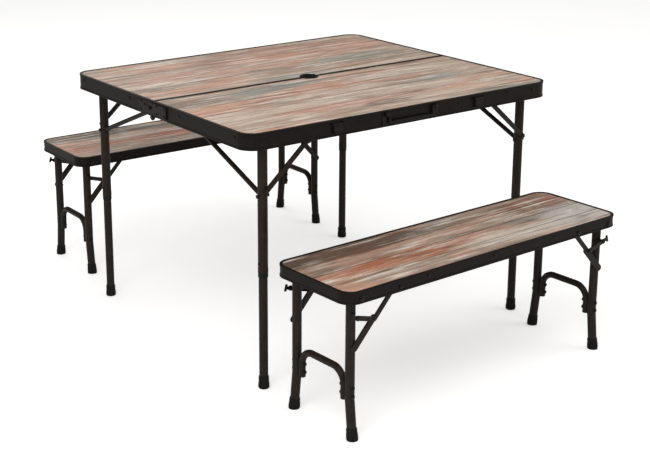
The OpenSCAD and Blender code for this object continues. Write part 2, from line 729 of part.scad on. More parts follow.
stays_upper_piece(false, 1);  // back_bench_right_stays_upper
catches_piece(false, 1);  // back_bench_right_catches
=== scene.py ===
"""Looks of a folding camping table with two folding benches.

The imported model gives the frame: every CAD piece stays where it is and gets its
real finish, and the small parts that only the eye needs are built here.
"""
import logging
import math
from dataclasses import dataclass, field
from enum import Enum
from functools import cache
from typing import Sequence

import bmesh
import bpy
from mathutils import Matrix, Vector


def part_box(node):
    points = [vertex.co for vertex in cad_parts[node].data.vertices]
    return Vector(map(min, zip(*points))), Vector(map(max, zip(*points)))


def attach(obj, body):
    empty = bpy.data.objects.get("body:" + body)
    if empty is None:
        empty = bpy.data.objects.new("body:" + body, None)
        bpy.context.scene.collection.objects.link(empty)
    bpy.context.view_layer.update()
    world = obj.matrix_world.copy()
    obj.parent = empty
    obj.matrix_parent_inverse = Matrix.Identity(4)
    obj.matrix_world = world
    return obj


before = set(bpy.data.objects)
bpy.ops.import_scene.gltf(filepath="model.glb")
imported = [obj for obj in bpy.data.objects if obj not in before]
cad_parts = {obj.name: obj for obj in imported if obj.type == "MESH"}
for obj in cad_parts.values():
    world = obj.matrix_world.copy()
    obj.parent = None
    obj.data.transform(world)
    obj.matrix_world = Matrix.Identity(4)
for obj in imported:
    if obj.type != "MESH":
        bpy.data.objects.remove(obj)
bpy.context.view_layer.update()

log = logging.getLogger("camping_table")

MM = 0.001
Point = tuple[float, float, float]
Profile = Sequence[tuple[float, float]]
Tree = bpy.types.NodeTree
Node = bpy.types.Node
Socket = bpy.types.NodeSocket


def linear(hex_colour: str) -> tuple[float, float, float, float]:
    """Turns an sRGB hex value into linear RGBA.

    Args:
        hex_colour: colour such as "#8a5b47".

    Returns:
        The linear colour with alpha 1.
    """
    parts = [int(hex_colour[i : i + 2], 16) / 255 for i in (1, 3, 5)]
    made = [c / 12.92 if c <= 0.04045 else ((c + 0.055) / 1.055) ** 2.4 for c in parts]
    return (made[0], made[1], made[2], 1.0)


def add(tree: Tree, kind: str, inputs: dict | None = None, **settings) -> Node:
    """Adds one shader node with its settings and links.

    Args:
        tree: node tree that gets the node.
        kind: node type without its prefix, such as "TexNoise".
        inputs: socket name or index to a value, a socket, or a node whose first output feeds it.
        **settings: attributes of the node.

    Returns:
        The new node.
    """
    made = tree.nodes.new("ShaderNode" + kind)
    for key, value in settings.items():
        setattr(made, key, value)
    for key, value in (inputs or {}).items():
        if isinstance(value, Node):
            value = value.outputs[0]
        if isinstance(value, Socket):
            tree.links.new(value, made.inputs[key])
        else:
            made.inputs[key].default_value = value
    return made


def new_material(name: str) -> tuple[bpy.types.Material, Tree, Node]:
    """Makes a material with an empty Principled surface.

    Args:
        name: the material's name.

    Returns:
        The material, its tree and its Principled node.
    """
    material = bpy.data.materials.new(name)
    material.use_nodes = True
    tree = material.node_tree
    tree.nodes.clear()
    shader = add(tree, "BsdfPrincipled")
    add(tree, "OutputMaterial", {0: shader})
    return material, tree, shader


class Slot(Enum):
    """The record's material slots, named for the pieces built here."""

    PLASTIC = "black_plastic"
    RUBBER = "foot_rubber"
    STEEL = "plated_steel"


@dataclass(frozen=True)
class Layer:
    """One colour of the plank print, laid where a stretched noise is high.

    Length and width are the patches' real size in metres. The colour starts where the
    noise passes low, and is at its most where it passes high.
    """

    colour: str
    length: float
    width: float
    low: float
    high: float
    most: float
    detail: float = 5.0
    rough: float = 0.65


# The slow drift between the two tones of the bare wood; its colours are the foil's ground
WOOD_DRIFT = Layer("", 0.42, 0.055, 0.0, 1.0, 1.0, 5.0, 0.60)


@dataclass(frozen=True)
class Zone:
    """One broad area of old paint in the print. Place from the board's middle and size in metres."""

    x: float
    y: float
    length: float
    width: float
    colour: str
    most: float


@dataclass(frozen=True)
class PlankFoil:
    """Melamine foil printed with old boat planks, pressed on fibreboard.

    The print gives weathered beige-brown planks with worn salmon and grey-green paint
    and long streaks; the melamine over it is even and satin, so the grain is seen and
    not felt.
    """

    name: str
    middle: tuple[float, float]
    turn: float = 0.0
    plank: float = 88 * MM
    board: float = 900 * MM
    seed: float = 0.0
    # Above this height a board shows its print
    top: float = 696.5 * MM
    ground: tuple[str, str] = ("#ab8f7c", "#ebd3bd")
    # Worn paint in patches 200 to 400 mm long, pale rubbed wood, dark grain and weather lines
    layers: tuple[Layer, ...] = (
        Layer("#dfa68b", 0.36, 0.078, 0.46, 0.58, 0.78, 7.0, 0.60),
        Layer("#9c9f94", 0.42, 0.070, 0.54, 0.64, 0.80, 7.0, 0.62),
        Layer("#fff3e4", 0.17, 0.014, 0.51, 0.65, 0.88, 6.0, 0.68),
        Layer("#6a5243", 0.22, 0.016, 0.54, 0.68, 0.72, 6.0, 0.68),
        Layer("#55412f", 0.10, 0.0040, 0.46, 0.72, 0.50, 4.0, 0.60),
        Layer("#46352c", 0.11, 0.0080, 0.58, 0.70, 0.74, 6.0, 0.70),
    )
    zones: tuple[Zone, ...] = ()
    speckle: str = "#57443a"
    seam: str = "#43362e"
    # Brown back of the fibreboard, seen from below
    backing: tuple[str, str] = ("#4a3c30", "#6b5847")
    # The first layers are paint and lie under the zones, the others over them
    paints: int = 2
    # How much a board's own tone moves the ground, and the noise from its dark to its pale tone
    board_share: float = 0.22
    ground_span: tuple[float, float] = (0.35, 0.85)
    # Worn flecks, 2 to 4 mm wide in a noise of 5 mm
    fleck: float = 5 * MM
    fleck_span: tuple[float, float] = (0.53, 0.70)
    fleck_most: float = 0.34
    fibre: float = 2.4 * MM
    # Satin melamine: the gloss drifts a little with the flecks
    gloss: tuple[float, float] = (0.46, 0.56)
    seam_width: float = 2.2 * MM
    seam_most: float = 0.75
    end_width: float = 0.7 * MM
    end_most: float = 0.08

    def build(self) -> bpy.types.Material:
        """Makes the material.

        Returns:
            The material.
        """
        material, tree, shader = new_material(self.name)
        place = add(tree, "TexCoord").outputs["Object"]
        placing = {0: place, "Location": (*self.middle, 0.0), "Rotation": (0.0, 0.0, self.turn)}
        turned = add(tree, "Mapping", placing, vector_type="TEXTURE")
        along, across, height = add(tree, "SeparateXYZ", {0: turned}).outputs
        row, cell, row_chance, chance = self._boards(tree, along, across)
        # Beige-brown ground, a little different on every board
        ground = self._stretched(tree, along, across, row_chance, WOOD_DRIFT, 1.0)
        level = add(tree, "Math", {0: chance, 1: self.board_share, 2: ground}, operation="MULTIPLY_ADD")
        level = add(tree, "MapRange", {0: level, 1: self.ground_span[0], 2: self.ground_span[1]})
        colour = self._over(tree, linear(self.ground[0]), level, self.ground[1])
        for i, layer in enumerate(self.layers):
            if i == self.paints:
                colour = self._old_paint(tree, turned, ground, colour)
            noise = self._stretched(tree, along, across, row_chance, layer, 11.0 + 10.0 * i)
            amount = add(tree, "MapRange", {0: noise, 1: layer.low, 2: layer.high, 4: layer.most})
            colour = self._over(tree, colour, amount, layer.colour)
        flecks = {0: turned, "Scale": 1 / self.fleck, "Detail": 5.0, "Roughness": 0.75}
        spots = add(tree, "TexNoise", flecks)
        low, high = self.fleck_span
        amount = add(tree, "MapRange", {0: spots, 1: low, 2: high, 4: self.fleck_most})
        colour = self._over(tree, colour, amount, self.speckle)
        colour = self._over(tree, colour, self._seams(tree, row, cell), self.seam)
        # The underside shows the plain backing
        fibre = add(tree, "TexNoise", {0: place, "Scale": 1 / self.fibre, "Detail": 4.0})
        backing = self._over(tree, linear(self.backing[0]), fibre, self.backing[1])
        is_top = add(tree, "Math", {0: height, 1: self.top}, operation="GREATER_THAN")
        inputs = {"Factor": is_top, 6: backing, 7: colour}
        colour = add(tree, "Mix", inputs, data_type="RGBA").outputs[2]
        gloss = add(tree, "MapRange", {0: spots, 1: 0.3, 2: 0.7, 3: self.gloss[0], 4: self.gloss[1]})
        relief = add(tree, "Bump", {"Strength": 0.12, "Distance": 0.0002, "Height": spots})
        tree.links.new(colour, shader.inputs["Base Color"])
        tree.links.new(gloss.outputs[0], shader.inputs["Roughness"])
        tree.links.new(relief.outputs[0], shader.inputs["Normal"])
        shader.inputs["Specular IOR Level"].default_value = 0.35
        return material

    def _stretched(
        self, tree: Tree, along: Socket, across: Socket, chance: Node, layer: Layer, salt: float
    ) -> Node:
        """Noise with patches of a layer's size, with a new draw on every plank.

        Args:
            tree: node tree.
            along: socket with the place along the planks.
            across: socket with the place across them.
            chance: the plank's own number.
            layer: the layer that gives the size and the detail.
            salt: makes each layer's noise its own.

        Returns:
            The noise node.
        """
        x = add(tree, "Math", {0: along, 1: layer.length}, operation="DIVIDE")
        y = add(tree, "Math", {0: across, 1: layer.width}, operation="DIVIDE")
        # The plank's number moves the noise by up to five patches
        y = add(tree, "Math", {0: chance, 1: 5.0, 2: y}, operation="MULTIPLY_ADD")
        at = add(tree, "CombineXYZ", {0: x, 1: y, 2: salt + self.seed})
        inputs = {0: at, "Scale": 1.0, "Detail": layer.detail, "Roughness": layer.rough}
        return add(tree, "TexNoise", inputs)

    def _old_paint(self, tree: Tree, place: Node, ragged: Node, colour: Socket) -> Socket:
        """Lays the broad areas of old paint, with ragged ends.

        Args:
            tree: node tree.
            place: node with the place from the board's middle.
            ragged: noise that breaks the areas' edges.
            colour: the colour below.

        Returns:
            The colour with the areas.
        """
        flat = add(tree, "VectorMath", {0: place, 1: (1.0, 1.0, 0.0)}, operation="MULTIPLY")
        for zone in self.zones:
            away = add(tree, "VectorMath", {0: flat, 1: (zone.x, zone.y, 0.0)}, operation="SUBTRACT")
            half = (zone.length / 2, zone.width / 2, 1.0)
            reach = add(tree, "VectorMath", {0: away, 1: half}, operation="DIVIDE")
            reach = add(tree, "VectorMath", {0: reach}, operation="LENGTH").outputs["Value"]
            # Where the noise is 0.5 the paint is full inside 0.7 of the half size, and gone at 1.3
            reach = add(tree, "Math", {0: ragged, 1: 2.6, 2: reach}, operation="MULTIPLY_ADD")
            amount = add(tree, "MapRange", {0: reach, 1: 2.6, 2: 2.0, 4: zone.most})
            colour = self._over(tree, colour, amount, zone.colour)
        return colour

    def _over(self, tree: Tree, colour: Socket | tuple, factor: Node, other: str) -> Socket:
        """Lays a colour over another by a factor.

        Args:
            tree: node tree.
            colour: the colour below, as a socket or a value.
            factor: node with the amount.
            other: hex colour that is laid over it.

        Returns:
            The mixed colour.
        """
        inputs = {"Factor": factor, 6: colour, 7: linear(other)}
        return add(tree, "Mix", inputs, data_type="RGBA").outputs[2]

    def _boards(self, tree: Tree, along: Socket, across: Socket) -> tuple[Node, Node, Node, Node]:
        """Splits the surface into planks and boards.

        Args:
            tree: node tree.
            along: socket with the place along the planks.
            across: socket with the place across them.

        Returns:
            The place in planks, the place in boards, the plank's number and the board's.
        """
        row = add(tree, "Math", {0: across, 1: self.plank}, operation="DIVIDE")
        row_id = add(tree, "Math", {0: row}, operation="FLOOR")
        row_chance = add(tree, "TexWhiteNoise", {"W": row_id}, noise_dimensions="1D")
        # The boards of each plank start at a place of their own
        start = add(tree, "Math", {0: row_chance, 1: 1.7, 2: along}, operation="MULTIPLY_ADD")
        cell = add(tree, "Math", {0: start, 1: self.board}, operation="DIVIDE")
        cell_id = add(tree, "Math", {0: cell}, operation="FLOOR")
        place = add(tree, "CombineXYZ", {0: row_id, 1: cell_id, 2: self.seed})
        return row, cell, row_chance, add(tree, "TexWhiteNoise", {0: place}, noise_dimensions="3D")

    def _seams(self, tree: Tree, row: Node, cell: Node) -> Node:
        """Dark lines about 2 mm wide between planks, faint ones at the board ends.

        Args:
            tree: node tree.
            row: the place across, in planks.
            cell: the place along, in boards.

        Returns:
            The seams' amount.
        """
        made = []
        for value, width, most in (
            (row, self.seam_width / self.plank, self.seam_most),
            (cell, self.end_width / self.board, self.end_most),
        ):
            inside = add(tree, "Math", {0: value}, operation="FRACT")
            rest = add(tree, "Math", {0: 1.0, 1: inside}, operation="SUBTRACT")
            edge = add(tree, "Math", {0: inside, 1: rest}, operation="MINIMUM")
            made.append(add(tree, "MapRange", {0: edge, 1: width * 0.4, 2: width, 3: most, 4: 0.0}))
        return add(tree, "Math", {0: made[0], 1: made[1]}, operation="MAXIMUM")


# Every board shows another part of the print
LEAF_SEEDS = {"front": 5.2, "back": 2.6}
BENCH_SEEDS = {"front": 0.37, "back": 1.9}
# The print of the seats: dark grain at the back left, salmon along the middle, pale wood at the right
BENCH_ZONES = (
    Zone(-0.24, 0.100, 0.56, 0.085, "#51443a", 0.80),
    Zone(0.03, 0.080, 0.34, 0.075, "#857b6f", 0.62),
    Zone(-0.17, -0.030, 0.50, 0.060, "#c07453", 0.80),
    Zone(0.08, -0.045, 0.24, 0.065, "#d09a80", 0.65),
    Zone(0.35, 0.075, 0.28, 0.085, "#96624f", 0.70),
    Zone(0.20, -0.080, 0.40, 0.085, "#efe3d2", 0.82),
    Zone(0.42, -0.060, 0.24, 0.130, "#dcd9d2", 0.80),
)
# The print of the two leaves: paler, with the salmon and the grey-green in longer areas
LEAF_ZONES = {
    "front": (
        Zone(-0.47, 0.135, 0.24, 0.060, "#857263", 0.72),
        Zone(-0.15, 0.160, 0.38, 0.075, "#98a09a", 0.80),
        Zone(-0.41, 0.040, 0.34, 0.085, "#dba387", 0.80),
        Zone(-0.19, 0.077, 0.26, 0.055, "#d79c84", 0.75),
        Zone(-0.08, -0.104, 0.36, 0.065, "#dfae9b", 0.75),
        Zone(0.05, 0.080, 0.24, 0.055, "#dba388", 0.75),
        Zone(0.27, 0.117, 0.38, 0.085, "#ead8c4", 0.72),
        Zone(0.30, 0.013, 0.18, 0.050, "#aeb4ad", 0.75),
        Zone(-0.02, -0.140, 0.16, 0.050, "#7a6658", 0.62),
    ),
    "back": (
        Zone(-0.04, 0.072, 0.28, 0.065, "#dba48b", 0.78),
        Zone(0.09, 0.066, 0.28, 0.065, "#dba48b", 0.78),
        Zone(0.38, 0.080, 0.28, 0.095, "#ddaa95", 0.75),
        Zone(-0.26, 0.008, 0.34, 0.065, "#dba58d", 0.75),
        Zone(-0.03, -0.195, 0.28, 0.055, "#99a09a", 0.75),
        Zone(0.27, -0.070, 0.38, 0.085, "#a3a699", 0.75),
        Zone(-0.45, -0.114, 0.30, 0.065, "#9a8f82", 0.70),
    ),
}


@dataclass(frozen=True)
class Skin:
    """A plain dark finish: clouded colour, uneven gloss and a fine relief.

    Colour turns to the worn one in spots of a real size; the relief is the grain that a
    hand would feel, such as orange peel, mould grain or brush marks.
    """

    name: str
    colour: str
    worn: str
    roughness: float
    spots: float
    most: float
    grain: float
    grain_kind: str = "TexNoise"
    stretch: float = 1.0
    relief: float = 0.2
    metallic: float = 0.0
    specular: float = 0.5

    def build(self) -> bpy.types.Material:
        """Makes the material.

        Returns:
            The material.
        """
        material, tree, shader = new_material(self.name)
        place = add(tree, "TexCoord").outputs["Object"]
        spots = add(tree, "TexNoise", {0: place, "Scale": 1 / self.spots, "Detail": 6.0, "Roughness": 0.7})
        drawn = add(tree, "Mapping", {0: place, "Scale": (1.0, 1.0, self.stretch)})
        grain = add(tree, self.grain_kind, {0: drawn, "Scale": 1 / self.grain})
        amount = add(tree, "MapRange", {0: spots, 1: 0.42, 2: 0.72, 4: self.most})
        inputs = {"Factor": amount, 6: linear(self.colour), 7: linear(self.worn)}
        colour = add(tree, "Mix", inputs, data_type="RGBA").outputs[2]
        low, high = self.roughness - 0.05, self.roughness + 0.09
        gloss = add(tree, "MapRange", {0: spots, 1: 0.3, 2: 0.7, 3: low, 4: high})
        relief = add(tree, "Bump", {"Strength": self.relief, "Distance": 0.0001, "Height": grain})
        tree.links.new(colour, shader.inputs["Base Color"])
        tree.links.new(gloss.outputs[0], shader.inputs["Roughness"])
        tree.links.new(relief.outputs[0], shader.inputs["Normal"])
        shader.inputs["Metallic"].default_value = self.metallic
        shader.inputs["Specular IOR Level"].default_value = self.specular
        return material


# Powder coat on extruded aluminium: a near-black brown with a faint orange peel and soft gloss
RIM_PAINT = Skin("rim_powder_coat", "#16120f", "#261e18", 0.38, 0.030, 0.5, 1.6 * MM, specular=0.14)
# Powder coat on steel tube: the same brown, more matt and rubbed a little lighter
TUBE_PAINT = Skin("tube_powder_coat", "#251d17", "#3a2d24", 0.42, 0.024, 0.55, 1.6 * MM, specular=0.18)
# Injection-moulded polypropylene with a spark-eroded grain: dull black
COLLAR_PLASTIC = Skin(
    "collar_polypropylene", "#141311", "#24211e", 0.52, 0.020, 0.5, 0.8 * MM, "TexVoronoi", specular=0.22
)
GRIP_PLASTIC = Skin(
    "grip_polypropylene", "#12110f", "#201d1a", 0.50, 0.020, 0.5, 1.0 * MM, "TexVoronoi", specular=0.22
)
# Moulded rubber of the feet: black and very matt, dusty in places
FOOT_RUBBER = Skin(
    "foot_rubber_black", "#131210", "#2b2824", 0.68, 0.018, 0.6, 1.2 * MM, "TexVoronoi", specular=0.2
)
# Pressed steel under the rim's paint: dark, with a faint brushed direction under it
PAINTED_STEEL = Skin(
    "fitting_painted_steel", "#181310", "#2c231c", 0.38, 0.012, 0.5, 4.0 * MM, stretch=6.0, specular=0.22
)
# Blackened zinc on tumbled steel: a dark metal sheen with brighter rubbed spots
FITTING_STEEL = Skin(
    "fitting_blackened_steel", "#2b2622", "#544a42", 0.38, 0.010, 0.7, 4.0 * MM, stretch=6.0, metallic=0.85
)
RIVET_STEEL = Skin(
    "rivet_blackened_steel", "#1f1b18", "#4c433b", 0.32, 0.008, 0.7, 3.0 * MM, stretch=6.0, metallic=0.85
)


@cache
def material_of(finish: PlankFoil | Skin) -> bpy.types.Material:
    """Builds a finish on its first use.

    Args:
        finish: one of the finishes above.

    Returns:
        The material.
    """
    return finish.build()


def smooth(data: bpy.types.Mesh, angle: float = 32.0) -> None:
    """Shades a mesh smooth, with sharp edges over an angle.

    Args:
        data: the mesh.
        angle: in degrees.
    """
    data.polygons.foreach_set("use_smooth", [True] * len(data.polygons))
    data.set_sharp_from_angle(angle=math.radians(angle))
    data.update()


@dataclass
class Builder:
    """Collects one mesh piece out of turned, pressed and bent shapes."""

    mesh: bmesh.types.BMesh = field(default_factory=bmesh.new)

    def _ring(self, centre: Vector, side: Vector, other: Vector, radius: float, count: int) -> list:
        """Adds a circle of vertices, or one vertex where the radius is nothing.

        Args:
            centre: middle of the circle.
            side: direction of its first vertex.
            other: direction of the vertex a quarter turn on.
            radius: in metres.
            count: how many vertices.

        Returns:
            The vertices.
        """
        if radius < 1e-6:
            return [self.mesh.verts.new(centre)]
        made = []
        for i in range(count):
            turn = math.tau * i / count
            spot = centre + (side * math.cos(turn) + other * math.sin(turn)) * radius
            made.append(self.mesh.verts.new(spot))
        return made

    def _join(self, low: list, high: list) -> None:
        """Joins two rings with faces; either may be a single vertex.

        Args:
            low: vertices of one ring.
            high: vertices of the other.
        """
        count = max(len(low), len(high))
        for i in range(count):
            j = (i + 1) % count
            corners = [low[i % len(low)], low[j % len(low)], high[j % len(high)], high[i % len(high)]]
            face = [v for k, v in enumerate(corners) if v not in corners[:k]]
            if len(face) > 2:
                self.mesh.faces.new(face)

    def lathe(self, profile: Profile, at: Vector, axis: Vector, segments: int = 20) -> "Builder":
        """Adds a shape turned round an axis.

        Args:
            profile: radius and height pairs in millimetres.
            at: the axis's foot, in metres.
            axis: direction of the height.
            segments: sides of the turned shape.

        Returns:
            The builder.
        """
        axis = axis.normalized()
        side = axis.orthogonal().normalized()
        other = axis.cross(side)
        rings = [self._ring(at + axis * (z * MM), side, other, r * MM, segments) for r, z in profile]
        for low, high in zip(rings, rings[1:]):
            self._join(low, high)
        return self

    def block(self, low: Vector, high: Vector, bevel: float) -> "Builder":
        """Adds a pressed block with rounded edges.

        Args:
            low: lowest corner, in metres.
            high: highest corner, in metres.
            bevel: edge radius in millimetres.

        Returns:
            The builder.
        """
        size = high - low
        shape = Matrix.Translation((low + high) / 2) @ Matrix.Diagonal((*size, 1.0))
        made = bmesh.ops.create_cube(self.mesh, size=1.0, matrix=shape)["verts"]
        edges = list({edge for vert in made for edge in vert.link_edges})
        width = min(bevel * MM, min(size) * 0.45)
        bmesh.ops.bevel(self.mesh, geom=edges, offset=width, segments=3, profile=0.6, affect="EDGES")
        return self

    def sweep(self, path: Sequence[Vector], radius: float, sides: int = 10) -> "Builder":
        """Adds a round bar along a path, with closed ends.

        Args:
            path: points of the centre line, in metres.
            radius: radius in millimetres.
            sides: sides of the bar.

        Returns:
            The builder.
        """
        rings = []
        normal = None
        for i, point in enumerate(path):
            ahead = (path[min(i + 1, len(path) - 1)] - path[max(i - 1, 0)]).normalized()
            normal = ahead.orthogonal() if normal is None else normal - ahead * normal.dot(ahead)
            normal.normalize()
            rings.append(self._ring(point, normal, ahead.cross(normal), radius * MM, sides))
        for low, high in zip(rings, rings[1:]):
            self._join(low, high)
        self.mesh.faces.new(rings[0][::-1])
        self.mesh.faces.new(rings[-1])
        return self

    def finish(self, name: str, body: str, skin: Skin, slot: Slot) -> None:
        """Makes the piece and sets it on its body.

        Args:
            name: the piece's name.
            body: the CAD body it moves with.
            skin: its finish.
            slot: the record's slot named for the piece; not used.
        """
        bmesh.ops.recalc_face_normals(self.mesh, faces=self.mesh.faces)
        data = bpy.data.meshes.new(name)
        self.mesh.to_mesh(data)
        self.mesh.free()
        smooth(data)
        piece = bpy.data.objects.new(name, data)
        bpy.context.scene.collection.objects.link(piece)
        data.materials.append(material_of(skin))
        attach(piece, body)
        log.info("piece %s on %s, %d faces", name, body, len(data.polygons))


class Head(Enum):
    """Kinds of fastener heads, as radius and height profiles in millimetres."""

    RIVET = ((5.0, 0.0), (5.0, 0.5), (4.5, 1.3), (3.4, 1.9), (2.3, 2.1), (1.7, 2.0), (1.5, 1.2), (0.0, 1.1))
    FLUSH = ((4.6, 0.0), (4.4, 0.22), (3.2, 0.32), (0.0, 0.34))
    CAP = ((5.2, 0.0), (5.1, 0.35), (4.0, 0.9), (2.0, 1.15), (0.0, 1.2))
    DOME = ((6.4, 0.0), (6.4, 0.6), (5.6, 0.9), (5.2, 1.8), (4.0, 2.6), (2.2, 3.0), (0.0, 3.1))
    WASHER = ((7.0, 0.0), (7.0, 0.9), (5.0, 1.0), (4.6, 1.0), (4.5, 1.8), (3.6, 2.1), (0.0, 2.2))
    NUT = ((5.6, 0.0), (5.6, 3.2), (5.0, 3.8), (2.9, 3.8), (2.8, 5.0), (2.4, 5.4), (0.0, 5.4))
    SCREW = ((4.0, 0.0), (3.9, 0.6), (3.0, 1.4), (1.5, 1.8), (0.0, 1.9))
    BUTTON = ((4.2, 0.0), (4.2, 0.5), (3.4, 1.4), (1.8, 2.0), (0.0, 2.1))


# One moulded rib round a foot, and the ribs' heights above the ground
RIB = ((14.2, -1.0), (14.9, -0.5), (14.9, 0.5), (14.2, 1.0))
RIB_HEIGHTS = (5.0, 8.0, 11.0)
# Bush at the lower end of the upper leg tube, as wide as the tube
JOINT_BUSH = ((11.9, -12.5), (12.7, -12.5), (13.0, -12.1), (13.1, -11.0), (13.1, -0.3), (12.9, 0.0))


@dataclass
class Leaf:
    """One half of the folding top, with what is fixed to it. Fields in millimetres."""

    front: bool
    table_y: float
    length: float = 1045.0
    depth: float = 452.0
    rim: float = 44.0
    height: float = 700.0
    gap: float = 1.0
    leg_x: float = 457.0
    leg_y_outer: float = 420.5
    leg_y_inner: float = 402.5
    bracket_inner_y: float = 44.0
    under_bracket: float = 36.0
    rivet_x: tuple[float, ...] = (-455.0, -175.0, 175.0, 455.0)
    rivet_y: tuple[float, ...] = (130.0, 395.0)
    rivet_z: float = 27.0
    # Bracket screws: from the leg to the outer bracket's foot, off its middle, and half their spacing
    bracket_reach: float = 27.0
    screw_inset: float = 3.0
    screw_spread: float = 15.0
    # Hinge rivets: how far their faces stand out of the rim, and their places near and far from the fold
    hinge_out_front: float = 4.4
    hinge_out_back: float = 2.0
    hinge_near_y: float = 24.0
    hinge_far_y: float = 62.0
    hinge_z: tuple[float, float] = (12.0, 33.0)
    # Bead on the collar: radius of its path, height of its middle, its own radius, in degrees its span
    bead_path: float = 25.4
    bead_z: float = 45.3
    bead_radius: float = 1.1
    bead_span: float = 176.0

    @property
    def name(self) -> str:
        """Front or back."""
        return "front" if self.front else "back"

    @property
    def body(self) -> str:
        """The CAD body of this leaf."""
        return f"{self.name}_leaf"

    def leg_y(self, side: int) -> float:
        """Place of a leg across the fold.

        Args:
            side: 1 for the leg further from the fold, -1 for the nearer one.

        Returns:
            The distance from the fold.
        """
        return self.leg_y_outer if side > 0 else self.leg_y_inner

    def at(self, x: float, y: float, z: float) -> Vector:
        """Turns leaf millimetres into the row frame.

        Args:
            x: along the fold.
            y: away from the fold.
            z: up from the rim's lower edge.

        Returns:
            The point in metres.
        """
        s = -1 if self.front else 1
        y_out = self.table_y + s * (self.gap / 2 + y) * MM
        return Vector((s * x * MM, y_out, (self.height - self.rim + z) * MM))

    def direction(self, x: float, y: float, z: float) -> Vector:
        """Turns a leaf direction, given as in at, into the row frame.

        Returns:
            The direction.
        """
        s = -1 if self.front else 1
        return Vector((s * x, s * y, z))

    def block(self, builder: Builder, low: Point, high: Point, bevel: float) -> None:
        """Adds a block given in leaf millimetres.

        Args:
            builder: piece that gets the block.
            low: lowest corner.
            high: highest corner.
            bevel: edge radius in millimetres.
        """
        a, b = self.at(*low), self.at(*high)
        builder.block(Vector(map(min, a, b)), Vector(map(max, a, b)), bevel)

    def rivets(self) -> None:
        """Sets the rivets that close the rim section round its reinforcement."""
        made = Builder()
        for x in self.rivet_x:
            made.lathe(Head.RIVET.value, self.at(x, self.depth, self.rivet_z), self.direction(0, 1, 0))
        for s in (-1, 1):
            for y in self.rivet_y:
                spot = self.at(s * self.length / 2, y, self.rivet_z)
                made.lathe(Head.RIVET.value, spot, self.direction(s, 0, 0))
        made.finish(f"{self.name}_rim_rivets", self.body, RIVET_STEEL, Slot.STEEL)

    def bracket_screws(self) -> None:
        """Sets the screws of the leg brackets under the board."""
        made = Builder()
        down = Vector((0, 0, -1))
        for side in (1, -1):
            for y in (self.leg_y(side) - self.bracket_reach, self.bracket_inner_y):
                for dx in (-self.screw_spread, self.screw_spread):
                    spot = self.at(side * self.leg_x + dx, y - self.screw_inset, self.under_bracket)
                    made.lathe(Head.SCREW.value, spot, down, 12)
        made.finish(f"{self.name}_bracket_screws", self.body, RIVET_STEEL, Slot.STEEL)

    def hinge_rivets(self) -> None:
        """Sets the rivets of the side hinge plates."""
        made = Builder()
        out = self.hinge_out_front if self.front else self.hinge_out_back
        # The back plate has no rivets by the fold, where the lock lever swings
        rows = (self.hinge_near_y, self.hinge_far_y) if self.front else (self.hinge_far_y,)
        for s in (-1, 1):
            for y in rows:
                for z in self.hinge_z:
                    spot = self.at(s * (self.length / 2 + out), y, z)
                    made.lathe(Head.SCREW.value, spot, self.direction(s, 0, 0), 16)
        made.finish(f"{self.name}_hinge_rivets", self.body, RIVET_STEEL, Slot.STEEL)

    def collar_bead(self) -> None:
        """Adds the rounded bead on this half of the parasol hole's flange."""
        centre = self.at(0, -self.gap / 2, self.bead_z)
        start = (180.0 - self.bead_span) / 2 + (180.0 if self.front else 0.0)
        steps = 32
        turns = [math.radians(start + self.bead_span * i / steps) for i in range(steps + 1)]
        path = [centre + Vector((math.cos(a), math.sin(a), 0)) * self.bead_path * MM for a in turns]
        made = Builder().sweep(path, self.bead_radius)
        made.finish(f"{self.name}_collar_bead", self.body, COLLAR_PLASTIC, Slot.PLASTIC)


